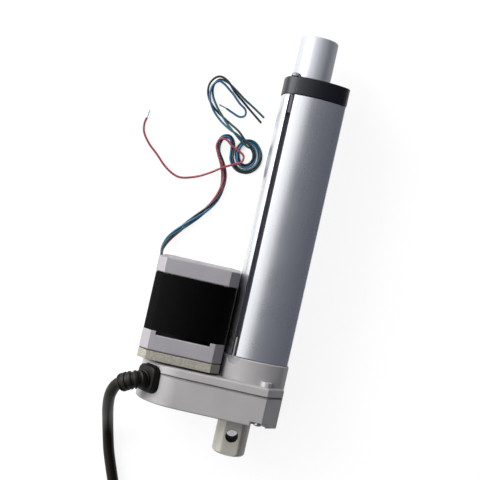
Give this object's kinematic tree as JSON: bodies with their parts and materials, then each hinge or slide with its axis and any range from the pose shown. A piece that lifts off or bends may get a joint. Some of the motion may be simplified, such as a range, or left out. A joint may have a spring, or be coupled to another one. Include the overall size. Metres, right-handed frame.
{
  "type": "linear actuator",
  "caption": "Electric linear actuator: a stepper motor beside an extruded tube drives a sliding rod through a gearbox and a lead screw, with a pin clevis at the rear.",
  "frame": {"origin": "on the back face of the gearbox cover, under the rod's axis and halfway along the cover", "axes": "+Y along the rod towards its free end, +Z out of the front face, +X from the motor towards the tube"},
  "size_m": [0.1171, 0.3317, 0.0461],
  "materials": {
    "die_cast_aluminium": "blasted die casting",
    "anodised_aluminium": "satin anodised",
    "turned_steel": "turned",
    "black_lamination": "black",
    "sand_cast_plate": "sand cast",
    "black_plastic": "moulded",
    "gear_plastic": "moulded",
    "bronze": "sintered",
    "copper_winding": "enamelled",
    "circuit_board": "lacquered",
    "cable_sheath": "satin",
    "wire_red": "extruded",
    "wire_blue": "extruded",
    "wire_green": "extruded",
    "wire_black": "extruded"
  },
  "bodies": {
    "frame": {"outer_tube": "anodised_aluminium", "front_cap": "black_plastic", "rod_wiper": "black_plastic", "guide_bush": "gear_plastic", "cap_screw_1": "turned_steel", "cap_screw_2": "turned_steel", "cap_screw_3": "turned_steel", "cap_screw_4": "turned_steel", "limit_switch_strip": "circuit_board", "limit_switch_in": "black_plastic", "limit_switch_out": "black_plastic", "gearbox_cover": "die_cast_aluminium", "gearbox_housing": "die_cast_aluminium", "cover_screw_1": "turned_steel", "cover_screw_2": "turned_steel", "cover_screw_3": "turned_steel", "cover_screw_4": "turned_steel", "tube_screw_1": "turned_steel", "tube_screw_2": "turned_steel", "tube_screw_3": "turned_steel", "tube_screw_4": "turned_steel", "cable_grommet": "black_plastic", "idler_pin": "turned_steel", "screw_bearing": "turned_steel", "rear_bush": "bronze", "rear_clevis": "turned_steel", "motor_front_cap": "die_cast_aluminium", "motor_rear_cap": "die_cast_aluminium", "motor_tie_screw_1": "turned_steel", "motor_tie_screw_2": "turned_steel", "motor_tie_screw_3": "turned_steel", "motor_tie_screw_4": "turned_steel", "motor_stator": "black_lamination", "motor_front_bearing": "turned_steel", "motor_rear_bearing": "turned_steel", "motor_winding_front": "copper_winding", "motor_winding_rear": "copper_winding", "motor_adapter_plate": "sand_cast_plate", "motor_lead_exit": "black_plastic", "motor_wire_green": "wire_green", "motor_wire_black": "wire_black", "motor_wire_blue": "wire_blue", "motor_wire_red": "wire_red", "cable_strain_relief": "black_plastic", "control_cable": "cable_sheath", "control_cable_coil": "cable_sheath", "cable_tie": "black_plastic"},
    "rotor": {"motor_rotor": "turned_steel", "motor_shaft": "turned_steel", "motor_pinion": "gear_plastic"},
    "idler": {"idler_gear": "gear_plastic"},
    "screw": {"lead_screw": "turned_steel", "screw_gear": "gear_plastic", "screw_spacer": "turned_steel", "gear_clip": "turned_steel"},
    "rod": {"inner_rod": "anodised_aluminium", "rod_end_insert": "turned_steel", "drive_nut": "gear_plastic"}
  },
  "joints": [
    {"name": "motor_spin", "type": "hinge", "parent": "frame", "child": "rotor", "pos_m": [-0.035, 0, 0.02115], "axis": [0, -1, 0], "range_deg": [0, 9750]},
    {"name": "idler_spin", "type": "hinge", "parent": "frame", "child": "idler", "pos_m": [-0.021, 0, 0.02115], "axis": [0, -1, 0], "range_deg": [-7320, 0]},
    {"name": "screw_spin", "type": "hinge", "parent": "frame", "child": "screw", "pos_m": [0, 0, 0.02115], "axis": [0, -1, 0], "range_deg": [0, 4505]},
    {"name": "rod_slide", "type": "slide", "parent": "frame", "child": "rod", "axis": [0, 1, 0], "range_m": [0, 0.1]}
  ],
  "couplings": [
    {"joint": "idler_spin", "follows": "motor_spin", "ratio": -0.75},
    {"joint": "screw_spin", "follows": "motor_spin", "ratio": 0.46154},
    {"joint": "rod_slide", "follows": "motor_spin", "m_per_rad": 0.00058764}
  ]
}
